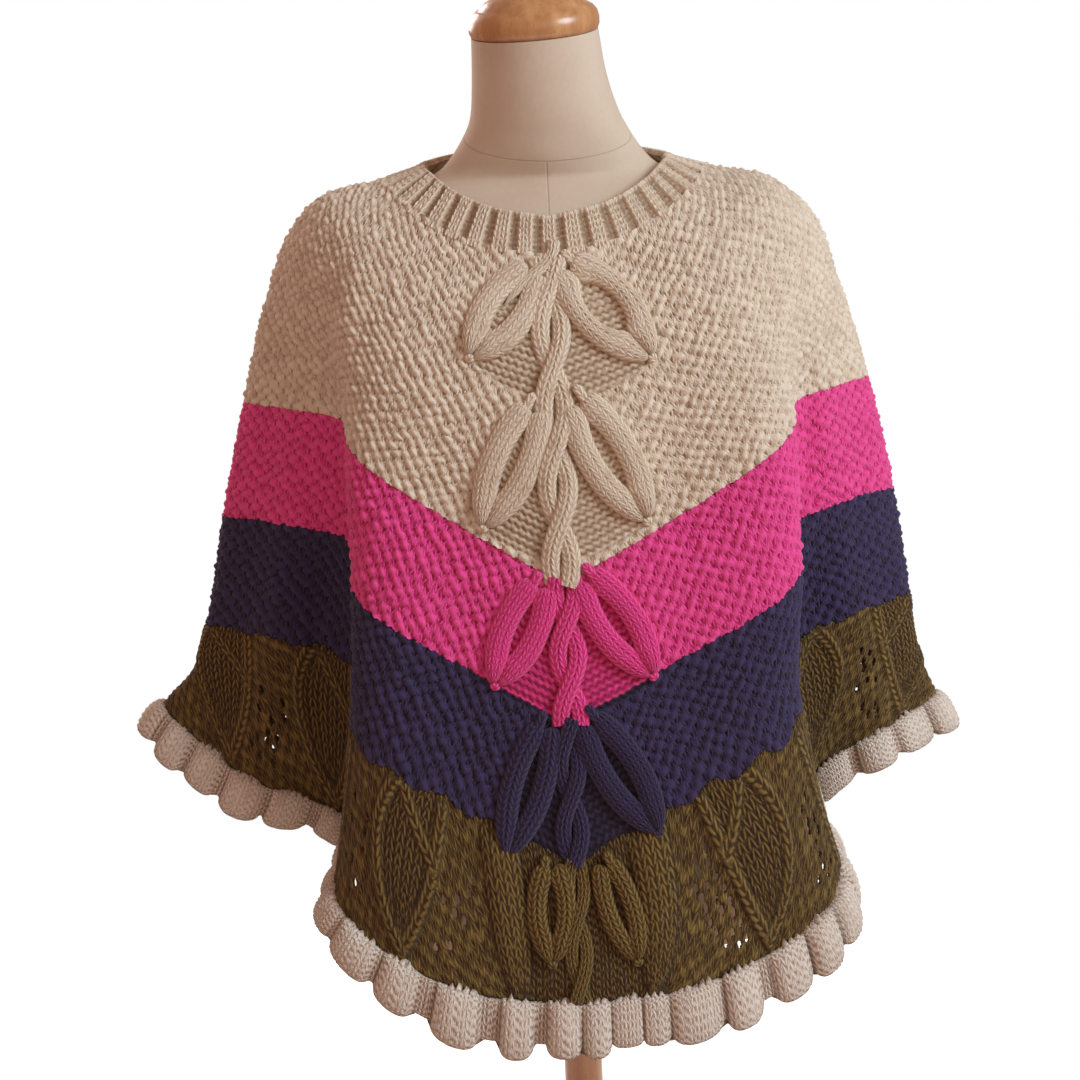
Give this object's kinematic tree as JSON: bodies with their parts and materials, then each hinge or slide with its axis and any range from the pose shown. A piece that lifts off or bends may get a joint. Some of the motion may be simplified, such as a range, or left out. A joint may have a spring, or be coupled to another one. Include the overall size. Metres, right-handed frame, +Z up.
{
  "type": "knitted poncho on a dress form",
  "caption": "Chunky knitted poncho with V-shaped colour bands, a cabled leaf panel and a scalloped hem, worn on a limbless linen dress form on a stand.",
  "frame": {"origin": "centre of the underside of the stand's round base, where the part rests", "axes": "+Z up along the pole to the neck cap; -Y is the front, with the cable and leaf panel; +X is the right of the front view"},
  "size_m": [0.6874, 0.3717, 0.9869],
  "materials": {
    "cream_wool": "matte chunky wool knit",
    "pink_wool": "matte chunky wool knit",
    "navy_wool": "matte chunky wool knit",
    "olive_wool": "matte chunky wool knit",
    "ruffle_wool": "matte chunky wool knit",
    "linen": "plain woven linen, matte",
    "beech": "turned wood, satin varnish"
  },
  "bodies": {
    "root": {"neckband_front": "cream_wool", "neckband_back": "cream_wool", "yoke_front": "cream_wool", "yoke_back": "cream_wool", "pink_band_front": "pink_wool", "pink_band_back": "pink_wool", "navy_band_front": "navy_wool", "navy_band_back": "navy_wool", "olive_lace_front": "olive_wool", "olive_lace_back": "olive_wool", "ruffle_front": "ruffle_wool", "ruffle_back": "ruffle_wool", "stem_cream": "cream_wool", "stem_pink": "pink_wool", "stem_navy": "navy_wool", "stem_olive": "olive_wool", "leaf_cream_upper_left": "cream_wool", "leaf_cream_upper_right": "cream_wool", "leaf_cream_lower_left": "cream_wool", "leaf_cream_lower_right": "cream_wool", "leaf_pink_left": "pink_wool", "leaf_pink_right": "pink_wool", "leaf_navy_left": "navy_wool", "leaf_navy_right": "navy_wool", "leaf_olive_left": "olive_wool", "leaf_olive_right": "olive_wool", "torso": "linen", "neck_cap": "beech", "pole": "beech", "base": "beech"}
  },
  "joints": []
}
